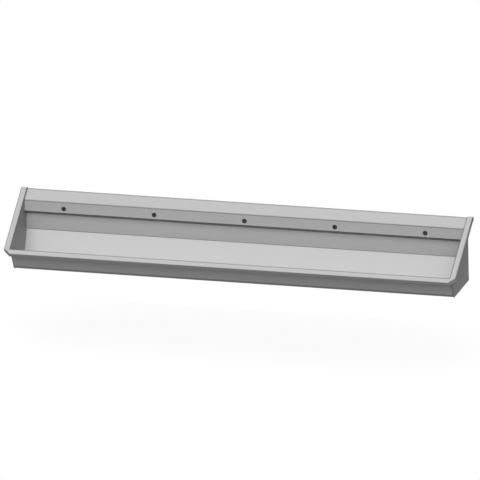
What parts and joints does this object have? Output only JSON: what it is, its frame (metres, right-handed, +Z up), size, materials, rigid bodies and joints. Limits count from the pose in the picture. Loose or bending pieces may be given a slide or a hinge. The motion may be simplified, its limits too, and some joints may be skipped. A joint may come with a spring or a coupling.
{
  "type": "trough sink",
  "caption": "Long wall-hung wash trough in folded satin stainless sheet, with a sloping rim, a tap ledge with round tap holes, end panels, wall fixings and a waste with a lift-out strainer.",
  "frame": {"origin": "on the finished wall, in the middle of the length, at the height of the top rail's screw holes", "axes": "+X along the trough to a user's right, +Y into the wall, so the user stands at -Y, +Z up"},
  "size_m": [3, 0.5039, 0.509],
  "materials": {
    "satin_stainless": "satin, grain along the length",
    "satin_stainless_end": "satin, grain along the slope, dressed welds",
    "satin_stainless_panel": "satin, grain along the length",
    "mill_stainless": "mill finish",
    "polished_stainless": "polished",
    "fastener_stainless": "bright",
    "galvanised_steel": "zinc coated",
    "brass": "machined",
    "sealing_rubber": "matt",
    "gasket_rubber": "matt",
    "bitumen_pad": "matt, grained"
  },
  "bodies": {
    "trough": {"trough_basin": "satin_stainless", "left_end_panel": "satin_stainless_end", "right_end_panel": "satin_stainless_end", "tap_panel": "satin_stainless_panel", "panel_seal": "sealing_rubber", "top_rail": "galvanised_steel", "wall_bracket_1": "galvanised_steel", "wall_bracket_2": "galvanised_steel", "wall_bracket_3": "galvanised_steel", "wall_bracket_4": "galvanised_steel", "floor_stiffener": "mill_stainless", "tap_plate_1": "galvanised_steel", "tap_plate_2": "galvanised_steel", "tap_plate_3": "galvanised_steel", "tap_plate_4": "galvanised_steel", "tap_plate_5": "galvanised_steel", "sound_pad_1": "bitumen_pad", "sound_pad_2": "bitumen_pad", "sound_pad_3": "bitumen_pad", "sound_pad_4": "bitumen_pad", "waste_body": "polished_stainless", "waste_top_gasket": "gasket_rubber", "waste_bottom_gasket": "gasket_rubber", "waste_nut": "brass", "panel_screws": "fastener_stainless", "panel_nuts": "fastener_stainless", "earth_tag": "mill_stainless", "earth_bolt": "fastener_stainless", "earth_nut": "brass"},
    "strainer": {"strainer_basket": "polished_stainless"}
  },
  "joints": [
    {"name": "strainer_lift", "type": "slide", "parent": "trough", "child": "strainer", "axis": [0, 0, 1], "range_m": [0, 0.06]}
  ]
}
